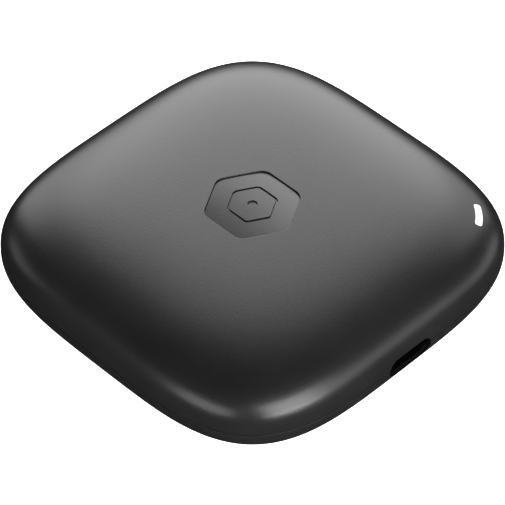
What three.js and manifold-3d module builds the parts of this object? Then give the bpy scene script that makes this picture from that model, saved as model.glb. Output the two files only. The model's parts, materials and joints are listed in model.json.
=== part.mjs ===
// A portable solid-state drive: a palm-size housing of two plastic covers around one circuit board.
// Millimetres, +Z up. The origin is the centre of the underside. The connector faces +X.
// The status light is near the (+X, +Y) corner.
import * as THREE from "three";
import { mergeVertices } from "three/addons/utils/BufferGeometryUtils.js";
import Module from "manifold-3d";

const wasm = await Module();
wasm.setup();

// ---- driving dimensions -------------------------------------------------------------------
const SIDE = 62.7; // across the flats of the square-round plan
const HEIGHT = 16.4; // foot to the top of the dome
const PLAN_POWER = 3.73; // 2 is a circle, more is squarer
const WALL = 1.6; // both covers
const PLAY = 0.1; // between flat faces that touch on the real object
const CLEAR = 0.3; // between pieces that must not touch
const OVER = 1; // how far a cutting solid passes the face it cuts

// ---- housing ------------------------------------------------------------------------------
const HALF = SIDE / 2;
const INNER_HALF = HALF - WALL;
const FOOT_STEP = 0.5; // the foot stands this far below the covers
const SEAM_Z = FOOT_STEP + 7.55; // parting plane, at the widest section
const SEAM_GAP = 0.2; // groove between the covers
const CROWN = 0.6; // how far the dome falls at the middle of a side, before the edge
const EDGE_POWER = 5; // how late the top turns down towards the rim
const FALL_POWER = 2.8; // how full that turn is
const BASE_SHARE = 0.67; // flat part of the underside, as a share of the plan
const CEILING = HEIGHT - WALL;
const INNER_FLOOR = FOOT_STEP + WALL + 0.4;

const LIP_HEIGHT = 1.2; // locating lip of the bottom cover, above the seam
const LIP_THICK = 0.6;
const LIP_FIT = 0.15;

const FOOT_HALF = 18.2;
const FOOT_THICK = 1.0;
const ADHESIVE_THICK = 0.15;
const FOOT_POCKET_Z = FOOT_THICK + ADHESIVE_THICK + 2 * PLAY;

// ---- features of the top ------------------------------------------------------------------
const HEX_FLAT = 6.4; // centre of the hexagon to each flat
const HEX_ROUND = 1.95; // radius of its rounded corners
const HEX_POCKET = 0.95; // depth of the pocket that holds the inlay
const HEX_EDGE_DEPTH = 0.22; // edge of the inlay below the cover
const HEX_PILLOW = 0.3; // how much its middle stands above its edge
const HEX_FIT = 0.04; // between pocket and inlay
const MARK_FLAT = 3.4; // engraved hexagon line on the inlay
const MARK_ROUND = 1.0;
const MARK_WIDTH = 0.36;
const MARK_DEPTH = 0.22;
const MARK_DOT = 0.75; // radius of the dot in its middle

const SLIT_BEND = 9.4; // radius the slit is bent to
const SLIT_REACH = 32.82; // axis of the housing to the middle of the slit
const SLIT_WIDTH = 1.1;
const SLIT_LENGTH = 4.4;
const SLIT_ROUND = 0.42; // radius of its corners
const SLIT_SLIDE = 0.45; // how far its middle is off the diagonal, towards +Y
const SLIT_FIT = 0.04;
const CORNER_ANGLE = Math.PI / 4;
const PIPE_FLANGE_WIDTH = 2.0; // the part of the light pipe that stays below the cover
const PIPE_FLANGE_LENGTH = 6.4;
const PIPE_FLANGE_ROUND = 0.6;
const PIPE_FLANGE_Z = SEAM_Z + LIP_HEIGHT + LIP_FIT;
const PIPE_FLANGE_THICK = 0.7;

// ---- connector ----------------------------------------------------------------------------
const PORT_WIDTH = 8.5; // opening in the covers, with full-round ends
const PORT_HEIGHT = 3.4;
const PORT_Y = 0.25;
const PORT_Z = SEAM_Z - 0.4;
const USB_WIDTH = 8.94; // outside of the receptacle shell
const USB_HEIGHT = 3.26;
const USB_WALL = 0.3;
const USB_DEPTH = 7.0;
const USB_INSET = 0.75; // mouth of the shell behind the side of the housing
const USB_MOUTH = HALF - USB_INSET;
const USB_BACK = USB_MOUTH - USB_DEPTH;
const USB_BLOCK = 1.8; // moulded block at the back of the shell
const TONGUE_WIDTH = 6.69;
const TONGUE_THICK = 0.7;
const TONGUE_SHORT = 0.8; // tip of the tongue behind the mouth
const LEG_WIDTH = 1.0; // legs of the shell, soldered through the board
const LEG_THICK = 0.3;
const LEG_FIRST = 0.8; // back of the shell to the middle of each pair of legs
const LEG_SECOND = 2.9;

// ---- board and what stands on it ----------------------------------------------------------
const BOARD_THICK = 1.0;
const BOARD_HALF = 28.0;
const BOARD_TOP = PORT_Z - USB_HEIGHT / 2 - PLAY;
const BOARD_BOTTOM = BOARD_TOP - BOARD_THICK;
const CHIP_Z = BOARD_TOP + PLAY;

const SCREW_PLACE = 13.0; // screws at plus and minus this in X and Y
const BOSS_RADIUS = 2.2; // of the top cover, down to the board
const POST_RADIUS = 2.8; // of the bottom cover, up to the board
const SCREW_RADIUS = 0.8;
const SCREW_HOLE = 1.0;
const SCREW_HEAD_RADIUS = 1.6;
const SCREW_HEAD_HEIGHT = 0.9;
const SCREW_THREAD = 4.0; // length inside the boss

// Packages: width, depth and height, then the place of the middle on the board.
const CHIP_HEIGHT = 1.0;
const CONTROLLER = { width: 13, depth: 13, height: CHIP_HEIGHT, x: 0, y: 0 };
const FLASH = { width: 10, depth: 13, height: CHIP_HEIGHT, x: 5.3, y: 14.5 };
const BRIDGE = { width: 6, depth: 6, height: 0.8, x: 18.5, y: 3.5 };
const REGULATOR = { width: 4, depth: 4, height: 0.8, x: 18.5, y: -4 };
const DIODE = { width: 2.2, depth: 1.3, height: 0.9, x: 21.2, y: 7.5 };
const INDUCTOR = { width: 4.2, depth: 4.2, height: 1.9, x: 18.5, y: -10.5 };
const CRYSTAL = { width: 3.2, depth: 2.5, height: 0.8, x: -14.5, y: 3 };
const CAPACITOR = { width: 3.2, depth: 1.6, height: 1.5, x: -19.5, y: 0 };
const CAPACITOR_PITCH = 4.5;
const LED = { width: 0.8, depth: 1.6, height: 0.7 };
const LED_INSET = 0.9; // towards the axis from the middle of the slit
const PIN_MARK_RADIUS = 0.3; // dimple by a chip's first pin
const PIN_MARK_DEPTH = 0.1;
const PIN_MARK_INSET = 0.9;

const PAD_THICK = 0.5; // thermal pads on the chips
const CONTROLLER_PAD = { width: 12, depth: 12, y: CONTROLLER.y };
const FLASH_PAD = { width: 20, depth: 12, y: FLASH.y };
const COVER_PAD = { width: 18, depth: 22 };
const FOAM_SIDE = 17;
const FRAME_Z = CHIP_Z + CHIP_HEIGHT + PAD_THICK + 2 * PLAY;
const FRAME_TOP = 13.45; // thermal frame, a hollow section open along Y
const FRAME_WIDTH = 21;
const FRAME_LENGTH = 42;
const FRAME_WALL = 0.9;

// ---- how finely curves are faceted --------------------------------------------------------
const PLAN_STEPS = 64;
const TOP_ROWS = 10;
const INNER_ROWS = 5;
const BASE_ROWS = 5;
const PILLOW_ROWS = 3;
const ROUND_STEPS = 18;
const ARC_STEPS = 4;

const cornerSigns = [
  [1, 1],
  [-1, 1],
  [-1, -1],
  [1, -1],
];

// ---- solids -------------------------------------------------------------------------------

// A three.js geometry as a manifold solid.
function solid(geometry) {
  const plain = geometry.index ? geometry.toNonIndexed() : geometry.clone();
  plain.deleteAttribute("normal");
  plain.deleteAttribute("uv");
  const merged = mergeVertices(plain, 1e-4);
  return new wasm.Manifold(
    new wasm.Mesh({
      numProp: 3,
      vertProperties: merged.attributes.position.array,
      triVerts: new Uint32Array(merged.index.array),
    }),
  );
}

// A manifold solid as a three.js geometry.
function geometryOf(body) {
  const mesh = body.getMesh();
  const geometry = new THREE.BufferGeometry();
  geometry.setAttribute("position", new THREE.BufferAttribute(mesh.vertProperties, 3));
  geometry.setIndex(new THREE.BufferAttribute(mesh.triVerts, 1));
  geometry.computeVertexNormals();
  return geometry;
}

// A block that stands on z, centred on x and y.
function block(width, depth, height, x, y, z) {
  const geometry = new THREE.BoxGeometry(width, depth, height);
  return solid(geometry.translate(x, y, z + height / 2));
}

// An upright cylinder that stands on z.
function cylinder(radius, height, x, y, z) {
  const geometry = new THREE.CylinderGeometry(radius, radius, height, ROUND_STEPS);
  geometry.rotateX(Math.PI / 2);
  return solid(geometry.translate(x, y, z + height / 2));
}

// A flat outline raised from low to high.
function prism(shape, low, high) {
  const options = { depth: high - low, bevelEnabled: false, curveSegments: ARC_STEPS };
  return solid(new THREE.ExtrudeGeometry(shape, options).translate(0, 0, low));
}

// ---- the square-round form ----------------------------------------------------------------

// How far the plan reaches at an angle, as a share of its half side.
function planShare(angle) {
  const cosine = Math.abs(Math.cos(angle)) ** PLAN_POWER;
  const sine = Math.abs(Math.sin(angle)) ** PLAN_POWER;
  return (cosine + sine) ** (-1 / PLAN_POWER);
}

// The plan as an outline with a given half side.
function planShape(half) {
  const points = [];
  for (let step = 0; step < PLAN_STEPS; step++) {
    const angle = (2 * Math.PI * step) / PLAN_STEPS;
    const reach = half * planShare(angle);
    points.push(new THREE.Vector2(reach * Math.cos(angle), reach * Math.sin(angle)));
  }
  return new THREE.Shape(points);
}

// An outline turned about the axis, then pushed out to the plan. The dome's fall is taken off
// what stands above the seam, all of it at full rise and none of it at the seam.
function squareRound(outline, rise) {
  const geometry = new THREE.LatheGeometry(outline, PLAN_STEPS);
  geometry.rotateX(Math.PI / 2);
  const place = geometry.attributes.position;
  for (let i = 0; i < place.count; i++) {
    const angle = Math.atan2(place.getY(i), place.getX(i));
    const reach = Math.hypot(place.getX(i), place.getY(i)) * planShare(angle);
    const share = Math.max(0, place.getZ(i) - SEAM_Z) / rise;
    const z = place.getZ(i) - CROWN * (reach / HALF) ** 2 * share;
    place.setXYZ(i, reach * Math.cos(angle), reach * Math.sin(angle), z);
  }
  return solid(geometry);
}

// A solid dome of a half side and a top, carried down to a floor at or below the seam.
function dome(half, top, floor, rows) {
  const rise = top - SEAM_Z;
  const points = [new THREE.Vector2(0, floor), new THREE.Vector2(half, floor)];
  for (let row = floor < SEAM_Z ? 0 : 1; row < rows; row++) {
    const rowRise = Math.sin((Math.PI / 2) * (row / rows));
    const share = (1 - rowRise ** FALL_POWER) ** (1 / EDGE_POWER);
    points.push(new THREE.Vector2(half * share, SEAM_Z + rise * rowRise));
  }
  points.push(new THREE.Vector2(0, top));
  return squareRound(points, rise);
}

// A solid dish of a half side and a floor, filled up to a ceiling at or above the seam.
function dish(half, floor, ceiling, rows) {
  const points = [new THREE.Vector2(0, floor)];
  for (let row = rows; row >= 1; row--) {
    const turn = (Math.PI / 2) * (row / rows);
    const share = 1 - (1 - BASE_SHARE) * (1 - Math.cos(turn));
    points.push(new THREE.Vector2(half * share, SEAM_Z - (SEAM_Z - floor) * Math.sin(turn)));
  }
  points.push(new THREE.Vector2(half, ceiling));
  points.push(new THREE.Vector2(0, ceiling));
  return squareRound(points, Infinity);
}

// ---- outlines -----------------------------------------------------------------------------

// A hexagon with rounded corners, two of them on the X axis.
function hexShape(flat, round) {
  const reach = (flat - round) / Math.cos(Math.PI / 6);
  const shape = new THREE.Shape();
  for (let corner = 0; corner < 6; corner++) {
    const angle = (corner * Math.PI) / 3;
    const x = reach * Math.cos(angle);
    const y = reach * Math.sin(angle);
    shape.absarc(x, y, round, angle - Math.PI / 6, angle + Math.PI / 6, false);
  }
  return shape;
}

// A slot with full-round ends, long in Y.
function obroundShape(width, height) {
  const round = height / 2;
  const reach = width / 2 - round;
  const shape = new THREE.Shape();
  shape.absarc(0, reach, round, 0, Math.PI, false);
  shape.absarc(0, -reach, round, Math.PI, 2 * Math.PI, false);
  return shape;
}

// A place by its distance along the diagonal of the lit corner, beside the diagonal by the slide.
function cornerPlace(reach) {
  return [(reach - SLIT_SLIDE) * Math.SQRT1_2, (reach + SLIT_SLIDE) * Math.SQRT1_2];
}

// A short band with rounded corners, bent towards the axis of the housing.
function bentSlotShape(width, length, round) {
  const low = CORNER_ANGLE - length / 2 / SLIT_BEND;
  const high = CORNER_ANGLE + length / 2 / SLIT_BEND;
  const centre = cornerPlace(SLIT_REACH - SLIT_BEND);
  const outer = SLIT_BEND + width / 2 - round;
  const inner = SLIT_BEND - width / 2 + round;
  const outerTurn = Math.asin(round / outer);
  const innerTurn = Math.asin(round / inner);
  const quarter = Math.PI / 2;
  const shape = new THREE.Shape();
  function corner(radius, angle, start, end) {
    const x = centre[0] + radius * Math.cos(angle);
    const y = centre[1] + radius * Math.sin(angle);
    shape.absarc(x, y, round, start, end, false);
  }
  shape.absarc(...centre, outer + round, low + outerTurn, high - outerTurn, false);
  corner(outer, high - outerTurn, high - outerTurn, high + quarter);
  corner(inner, high - innerTurn, high + quarter, high - innerTurn + 2 * quarter);
  shape.absarc(...centre, inner - round, high - innerTurn, low + innerTurn, true);
  corner(inner, low + innerTurn, low + innerTurn + 2 * quarter, low + 3 * quarter);
  corner(outer, low + outerTurn, low + 3 * quarter, low + outerTurn + 4 * quarter);
  return shape;
}

// An obround bar along X from start to end, centred on the port.
function portBar(width, height, start, end) {
  const options = { depth: end - start, bevelEnabled: false, curveSegments: 2 * ARC_STEPS };
  const geometry = new THREE.ExtrudeGeometry(obroundShape(width, height), options);
  geometry.rotateY(Math.PI / 2);
  return solid(geometry.translate(start, PORT_Y, PORT_Z));
}

// ---- covers -------------------------------------------------------------------------------

// The opening in the side, and behind it the wider room for the receptacle.
function portRoom() {
  const room = portBar(USB_WIDTH + 2 * PLAY, USB_HEIGHT + 2 * PLAY, USB_BACK, USB_MOUTH + PLAY);
  return room.add(portBar(PORT_WIDTH, PORT_HEIGHT, USB_MOUTH, HALF + OVER));
}

function topCover() {
  const shell = dome(HALF, HEIGHT, SEAM_Z + SEAM_GAP / 2, TOP_ROWS);
  const room = dome(INNER_HALF, CEILING, SEAM_Z - OVER, INNER_ROWS);
  const lipRoom = LIP_HEIGHT + LIP_FIT + SEAM_Z;
  let body = shell.subtract(room);
  body = body.subtract(prism(planShape(INNER_HALF + LIP_THICK + LIP_FIT), SEAM_Z - OVER, lipRoom));
  for (const [signX, signY] of cornerSigns) {
    const place = [signX * SCREW_PLACE, signY * SCREW_PLACE, CHIP_Z];
    body = body.add(cylinder(BOSS_RADIUS, CEILING - CHIP_Z, ...place));
    body = body.subtract(cylinder(SCREW_HOLE, SCREW_THREAD + CLEAR, ...place));
  }
  body = body.subtract(prism(hexShape(HEX_FLAT, HEX_ROUND), HEIGHT - HEX_POCKET, HEIGHT + OVER));
  body = body.subtract(prism(bentSlotShape(SLIT_WIDTH, SLIT_LENGTH, SLIT_ROUND), lipRoom, HEIGHT));
  return body.subtract(portRoom());
}

function bottomCover() {
  const shell = dish(HALF, FOOT_STEP, SEAM_Z - SEAM_GAP / 2, BASE_ROWS);
  const room = dish(INNER_HALF, INNER_FLOOR, SEAM_Z + OVER, BASE_ROWS);
  const lipTop = SEAM_Z + LIP_HEIGHT;
  const lip = prism(planShape(INNER_HALF + LIP_THICK), SEAM_Z - OVER, lipTop);
  const lipRoom = prism(planShape(INNER_HALF), SEAM_Z, lipTop + OVER);
  const postTop = BOARD_BOTTOM - PLAY;
  let body = shell.add(lip).subtract(room).subtract(lipRoom);
  for (const [signX, signY] of cornerSigns) {
    const place = [signX * SCREW_PLACE, signY * SCREW_PLACE];
    body = body.add(cylinder(POST_RADIUS, postTop - FOOT_POCKET_Z, ...place, FOOT_POCKET_Z));
  }
  body = body.subtract(prism(planShape(FOOT_HALF + PLAY), 0, FOOT_POCKET_Z));
  for (const [signX, signY] of cornerSigns) {
    const place = [signX * SCREW_PLACE, signY * SCREW_PLACE, FOOT_POCKET_Z - PLAY];
    body = body.subtract(cylinder(SCREW_HOLE, HEIGHT, ...place));
    body = body.subtract(cylinder(SCREW_HEAD_RADIUS + PLAY, SCREW_HEAD_HEIGHT + 2 * PLAY, ...place));
  }
  return body.subtract(portRoom());
}

function footPad() {
  return prism(planShape(FOOT_HALF), 0, FOOT_THICK);
}

function footAdhesive() {
  return prism(planShape(FOOT_HALF - CLEAR), FOOT_THICK + PLAY, FOOT_THICK + PLAY + ADHESIVE_THICK);
}

// Height of the inlay's pillowed face at a distance from its middle.
function pillowZ(radius) {
  return HEIGHT - HEX_EDGE_DEPTH + HEX_PILLOW * (1 - (radius / HEX_FLAT) ** 2);
}

// A round slug with the pillowed face, wide enough for the whole inlay.
function pillow(floor) {
  const reach = HEX_FLAT / Math.cos(Math.PI / 6);
  const points = [new THREE.Vector2(0, floor), new THREE.Vector2(reach, floor)];
  for (let row = PILLOW_ROWS; row >= 0; row--) {
    const radius = (reach * row) / PILLOW_ROWS;
    points.push(new THREE.Vector2(radius, pillowZ(radius)));
  }
  return solid(new THREE.LatheGeometry(points, ROUND_STEPS).rotateX(Math.PI / 2));
}

// The inlay, engraved with a plain hexagon line and a dot.
function emblemPlate() {
  const floor = HEIGHT - HEX_POCKET + PLAY;
  const lineFloor = pillowZ(MARK_FLAT) - MARK_DEPTH;
  const line = prism(hexShape(MARK_FLAT, MARK_ROUND), lineFloor, HEIGHT);
  const inside = hexShape(MARK_FLAT - MARK_WIDTH, MARK_ROUND - MARK_WIDTH);
  return prism(hexShape(HEX_FLAT - HEX_FIT, HEX_ROUND - HEX_FIT), floor, HEIGHT + OVER)
    .intersect(pillow(floor - OVER))
    .subtract(line.subtract(prism(inside, 0, HEIGHT + OVER)))
    .subtract(cylinder(MARK_DOT, OVER, 0, 0, pillowZ(0) - MARK_DEPTH));
}

function lightPipe() {
  const foot = CHIP_Z + CHIP_HEIGHT + PLAY;
  const stemRound = SLIT_ROUND - SLIT_FIT;
  const stem = bentSlotShape(SLIT_WIDTH - 2 * SLIT_FIT, SLIT_LENGTH - 2 * SLIT_FIT, stemRound);
  const flange = bentSlotShape(PIPE_FLANGE_WIDTH, PIPE_FLANGE_LENGTH, PIPE_FLANGE_ROUND);
  const flangeTop = PIPE_FLANGE_Z + PIPE_FLANGE_THICK;
  const whole = prism(stem, foot, HEIGHT).add(prism(flange, PIPE_FLANGE_Z, flangeTop));
  return whole.intersect(dome(HALF, HEIGHT, 0, TOP_ROWS));
}

// A self-tapping screw with its head down and a cross recess in it.
function caseScrew(signX, signY) {
  const place = [signX * SCREW_PLACE, signY * SCREW_PLACE];
  const headTop = FOOT_POCKET_Z + SCREW_HEAD_HEIGHT;
  const tip = CHIP_Z + SCREW_THREAD;
  const slot = [SCREW_HEAD_RADIUS * 1.3, SCREW_HEAD_RADIUS * 0.25, SCREW_HEAD_HEIGHT / 2];
  return cylinder(SCREW_HEAD_RADIUS, SCREW_HEAD_HEIGHT, ...place, FOOT_POCKET_Z)
    .add(cylinder(SCREW_RADIUS, tip - headTop + PLAY, ...place, headTop - PLAY))
    .subtract(block(slot[0], slot[1], slot[2] + PLAY, ...place, FOOT_POCKET_Z - PLAY))
    .subtract(block(slot[1], slot[0], slot[2] + PLAY, ...place, FOOT_POCKET_Z - PLAY));
}

// ---- connector ----------------------------------------------------------------------------

// Places of the shell's legs, two a side.
const legPlaces = [
  [USB_BACK + LEG_FIRST, 1],
  [USB_BACK + LEG_SECOND, 1],
  [USB_BACK + LEG_FIRST, -1],
  [USB_BACK + LEG_SECOND, -1],
];
const LEG_Y = USB_WIDTH / 2 - LEG_THICK / 2;

function usbShell() {
  const outside = portBar(USB_WIDTH, USB_HEIGHT, USB_BACK, USB_MOUTH);
  const inWidth = USB_WIDTH - 2 * USB_WALL;
  const inHeight = USB_HEIGHT - 2 * USB_WALL;
  let body = outside.subtract(portBar(inWidth, inHeight, USB_BACK - OVER, USB_MOUTH + OVER));
  for (const [x, side] of legPlaces) {
    const height = PORT_Z - BOARD_BOTTOM;
    body = body.add(block(LEG_WIDTH, LEG_THICK, height, x, PORT_Y + side * LEG_Y, BOARD_BOTTOM));
  }
  return body;
}

function usbTongue() {
  const inWidth = USB_WIDTH - 2 * USB_WALL - 2 * PLAY;
  const inHeight = USB_HEIGHT - 2 * USB_WALL - 2 * PLAY;
  const blockEnd = USB_BACK + USB_BLOCK;
  const length = USB_MOUTH - TONGUE_SHORT - blockEnd;
  const tongueZ = PORT_Z - TONGUE_THICK / 2;
  const middle = blockEnd + length / 2 - PLAY / 2;
  const blade = block(length + PLAY, TONGUE_WIDTH, TONGUE_THICK, middle, PORT_Y, tongueZ);
  return portBar(inWidth, inHeight, USB_BACK, blockEnd).add(blade);
}

// ---- board --------------------------------------------------------------------------------

function mainBoard() {
  let body = prism(planShape(BOARD_HALF), BOARD_BOTTOM, BOARD_TOP);
  for (const [signX, signY] of cornerSigns) {
    const place = [signX * SCREW_PLACE, signY * SCREW_PLACE, BOARD_BOTTOM - OVER];
    body = body.subtract(cylinder(SCREW_HOLE + PLAY, BOARD_THICK + 2 * OVER, ...place));
  }
  for (const [x, side] of legPlaces) {
    const slot = [LEG_WIDTH + 2 * CLEAR, LEG_THICK + 2 * PLAY, BOARD_THICK + 2 * OVER];
    body = body.subtract(block(...slot, x, PORT_Y + side * LEG_Y, BOARD_BOTTOM - OVER));
  }
  return body;
}

// A plain package on the board.
function component({ width, depth, height, x, y }) {
  return block(width, depth, height, x, y, CHIP_Z);
}

// A package with a small round dimple by its first pin.
function chip(size) {
  const x = size.x - size.width / 2 + PIN_MARK_INSET;
  const y = size.y + size.depth / 2 - PIN_MARK_INSET;
  const z = CHIP_Z + size.height - PIN_MARK_DEPTH;
  return component(size).subtract(cylinder(PIN_MARK_RADIUS, OVER, x, y, z));
}

function flashChip(signX, signY) {
  return chip({ ...FLASH, x: signX * FLASH.x, y: signY * FLASH.y });
}

function bulkCapacitor(index) {
  return component({ ...CAPACITOR, y: CAPACITOR_PITCH * (index - 1.5) });
}

function statusLed() {
  const geometry = new THREE.BoxGeometry(LED.width, LED.depth, LED.height);
  geometry.rotateZ(CORNER_ANGLE);
  return solid(geometry.translate(...cornerPlace(SLIT_REACH - LED_INSET), CHIP_Z + LED.height / 2));
}

function thermalPad({ width, depth, y }) {
  return block(width, depth, PAD_THICK, 0, y, CHIP_Z + CHIP_HEIGHT + PLAY);
}

function thermalFrame() {
  const height = FRAME_TOP - FRAME_Z;
  const inside = [FRAME_WIDTH - 2 * FRAME_WALL, FRAME_LENGTH + 2 * OVER, height - 2 * FRAME_WALL];
  return block(FRAME_WIDTH, FRAME_LENGTH, height, 0, 0, FRAME_Z).subtract(
    block(...inside, 0, 0, FRAME_Z + FRAME_WALL),
  );
}

function coverThermalPad() {
  const low = FRAME_TOP + PLAY;
  return block(COVER_PAD.width, COVER_PAD.depth, CEILING - 2 * CLEAR - low, 0, 0, low);
}

function supportFoam() {
  const low = INNER_FLOOR + PLAY;
  return block(FOAM_SIDE, FOAM_SIDE, BOARD_BOTTOM - PLAY - low, 0, 0, low);
}

// ---- finishes -----------------------------------------------------------------------------

function finish(name, colour, roughness, metalness = 0) {
  return new THREE.MeshStandardMaterial({ name, color: colour, roughness, metalness });
}

const finishes = {
  housing: () => finish("housing", 0x1d1d1d, 0.35),
  inlay: () => finish("inlay", 0x1d1d1d, 0.3),
  diffuser: () => finish("diffuser", 0xf7f7f4, 0.4),
  rubber: () => finish("rubber", 0x1c1c1d, 0.85),
  adhesive: () => finish("adhesive", 0x8f8f88, 0.6),
  steel: () => finish("steel", 0x9a9a9c, 0.35, 1),
  plating: () => finish("plating", 0x202022, 0.5, 1),
  blackPlastic: () => finish("black_plastic", 0x121213, 0.5),
  board: () => finish("board", 0x14301f, 0.45),
  package: () => finish("package", 0x1b1b1d, 0.6),
  ceramic: () => finish("ceramic", 0x8b6f4d, 0.5),
  can: () => finish("can", 0xb6b8ba, 0.3, 1),
  pad: () => finish("pad", 0x8fa7b8, 0.8),
  aluminium: () => finish("aluminium", 0xa7a9ab, 0.4, 1),
  foam: () => finish("foam", 0x2a2a2c, 0.95),
};

// ---- assembly -----------------------------------------------------------------------------

const drive = new THREE.Group();
drive.name = "portable_solid_state_drive";

function place(name, body, finishName) {
  const mesh = new THREE.Mesh(geometryOf(body), finishes[finishName]());
  mesh.name = name;
  drive.add(mesh);
}

place("top_cover", topCover(), "housing");
place("bottom_cover", bottomCover(), "housing");
place("emblem_plate", emblemPlate(), "inlay");
place("light_pipe", lightPipe(), "diffuser");
place("foot_pad", footPad(), "rubber");
place("foot_adhesive", footAdhesive(), "adhesive");
cornerSigns.forEach(([signX, signY], index) => {
  place(`case_screw_${index + 1}`, caseScrew(signX, signY), "steel");
  place(`flash_chip_${index + 1}`, flashChip(signX, signY), "package");
});

place("usb_c_shell", usbShell(), "plating");
place("usb_c_tongue", usbTongue(), "blackPlastic");
place("main_board", mainBoard(), "board");
place("controller_chip", chip(CONTROLLER), "package");
place("bridge_chip", chip(BRIDGE), "package");
place("power_chip", chip(REGULATOR), "package");
place("protection_diode", component(DIODE), "package");
place("power_inductor", component(INDUCTOR), "ceramic");
place("clock_crystal", component(CRYSTAL), "can");
for (let index = 0; index < 4; index++) {
  place(`bulk_capacitor_${index + 1}`, bulkCapacitor(index), "ceramic");
}
place("status_led", statusLed(), "can");

place("controller_thermal_pad", thermalPad(CONTROLLER_PAD), "pad");
place("flash_thermal_pad_1", thermalPad(FLASH_PAD), "pad");
place("flash_thermal_pad_2", thermalPad({ ...FLASH_PAD, y: -FLASH_PAD.y }), "pad");
place("thermal_frame", thermalFrame(), "aluminium");
place("cover_thermal_pad", coverThermalPad(), "pad");
place("support_foam", supportFoam(), "foam");

export default drive;
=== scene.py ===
"""A portable solid-state drive on a pale studio floor: fine covers, inlay, light pipe, foot and
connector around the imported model, with a procedural finish on every piece."""

import json
import math

import bmesh
import bpy
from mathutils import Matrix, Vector


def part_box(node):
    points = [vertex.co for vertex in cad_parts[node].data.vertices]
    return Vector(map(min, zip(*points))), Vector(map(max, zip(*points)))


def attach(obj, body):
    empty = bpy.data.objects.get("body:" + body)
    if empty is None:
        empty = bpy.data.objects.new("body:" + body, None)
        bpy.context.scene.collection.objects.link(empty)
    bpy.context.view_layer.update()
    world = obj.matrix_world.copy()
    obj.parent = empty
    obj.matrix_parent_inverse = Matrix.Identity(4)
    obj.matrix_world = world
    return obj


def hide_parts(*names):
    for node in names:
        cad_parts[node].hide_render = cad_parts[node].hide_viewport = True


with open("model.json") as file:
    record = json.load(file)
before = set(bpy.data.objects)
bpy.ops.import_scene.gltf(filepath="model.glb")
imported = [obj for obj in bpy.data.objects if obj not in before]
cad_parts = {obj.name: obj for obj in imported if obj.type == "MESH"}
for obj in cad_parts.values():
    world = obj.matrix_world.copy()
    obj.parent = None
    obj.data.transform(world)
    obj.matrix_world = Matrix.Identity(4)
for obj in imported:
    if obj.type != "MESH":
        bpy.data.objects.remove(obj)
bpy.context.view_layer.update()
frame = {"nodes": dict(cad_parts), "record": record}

# ---- sizes, in millimetres ------------------------------------------------------------------
MM = 0.001  # metres in a millimetre


def box_mm(node):
    """Lowest and highest corner of a CAD node, in millimetres."""
    low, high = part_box(node)
    return low / MM, high / MM


LIP_TOP = box_mm("bottom_cover")[1].z  # locating lip of the bottom cover
LIP_HEIGHT = 1.2
LIP_THICK = 0.6
LIP_FIT = 0.15
SEAM_Z = LIP_TOP - LIP_HEIGHT  # parting plane, at the widest section
HALF = box_mm("top_cover")[1].x
HEIGHT = 16.4  # foot to the top of the dome
PLAN_POWER = 3.73  # 2 is a circle, more is squarer
WALL = 1.6  # both covers
INNER_HALF = HALF - WALL
PLAY = 0.1  # between faces that touch on the real object
OVER = 1.0  # how far a cutting solid passes the face it cuts

FOOT_STEP = box_mm("bottom_cover")[0].z  # the foot stands this far below the covers
SEAM_GAP = 0.14  # groove between the covers
CROWN = 0.6  # how far the dome falls at the middle of a side, before the edge
EDGE_POWER = 5  # how late the top turns down towards the rim
FALL_POWER = 2.8  # how full that turn is
BASE_SHARE = 0.67  # flat part of the underside, as a share of the plan
DOME_SHARE = 0.62  # share of the plan where the rows of the top grow closer
INNER_SHARE = 0.4  # share of the plan where the rows of its inner face begin
CEILING = HEIGHT - WALL
CEILING_CLEAR = 0.2  # ledge of the top cover to the next level line of its inner face
FLOOR_EXTRA = 0.4  # how much thicker the middle of the bottom cover is
INNER_FLOOR = FOOT_STEP + WALL + FLOOR_EXTRA
EDGE_ROUND = 0.03  # moulded edges of the covers
EDGE_CLEAR = EDGE_ROUND * 1.2  # such an edge to the next level line
HEX_EDGE_ROUND = 0.03
SUPPORT = 0.03  # width of the strip that keeps a round's shading to itself

FOOT_HALF = box_mm("foot_pad")[1].x
FOOT_THICK = box_mm("foot_pad")[1].z
FOOT_ROUND = 0.25
ADHESIVE_ROOM = 0.35
FOOT_POCKET_Z = FOOT_THICK + ADHESIVE_ROOM
GROOVE_INSET = 1.6  # edge of the foot to its moulded groove
GROOVE_WIDTH = 0.5
GROOVE_DEPTH = 0.18
GROOVE_SLOPE = 0.2  # share of the groove's width that each wall takes

HEX_FLAT = 6.4  # centre of the hexagon to each flat
HEX_ROUND = 1.95  # radius of its rounded corners
HEX_POCKET = 0.95  # depth of the pocket that holds the inlay
HEX_EDGE_DEPTH = 0.22  # edge of the inlay below the cover
HEX_PILLOW = 0.29  # how much its middle stands above its edge
HEX_FIT = 0.04  # between pocket and inlay
HEX_LEAN = 0.1  # how much further than that its shading bows across Y
MARK_FLAT = 3.4  # engraved hexagon line on the inlay
MARK_ROUND = 1.0
MARK_WIDTH = 0.36
MARK_DEPTH = 0.22
MARK_DOT = 0.75  # radius of the dot in its middle
MARK_SLOPE = 0.05  # how far the walls of the engraving lean
SHARPEST = 0.05  # smallest radius of a hexagon's corner

SLIT_BEND = 9.4  # radius the slit is bent to
SLIT_REACH = 32.82  # axis of the housing to the middle of the slit
SLIT_WIDTH = 1.1
SLIT_LENGTH = 4.4
SLIT_ROUND = 0.42  # radius of its corners
SLIT_SLIDE = 0.45  # how far its middle is off the diagonal, towards +Y
SLIT_FIT = 0.04
PIPE_FLANGE_WIDTH = 2.0  # the part of the light pipe that stays below the cover
PIPE_FLANGE_LENGTH = 6.4
PIPE_FLANGE_ROUND = 0.6
PIPE_FLANGE_Z = LIP_TOP + LIP_FIT
PIPE_FLANGE_THICK = 0.7
CORNER_ANGLE = math.pi / 4  # direction of the diagonal

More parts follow.
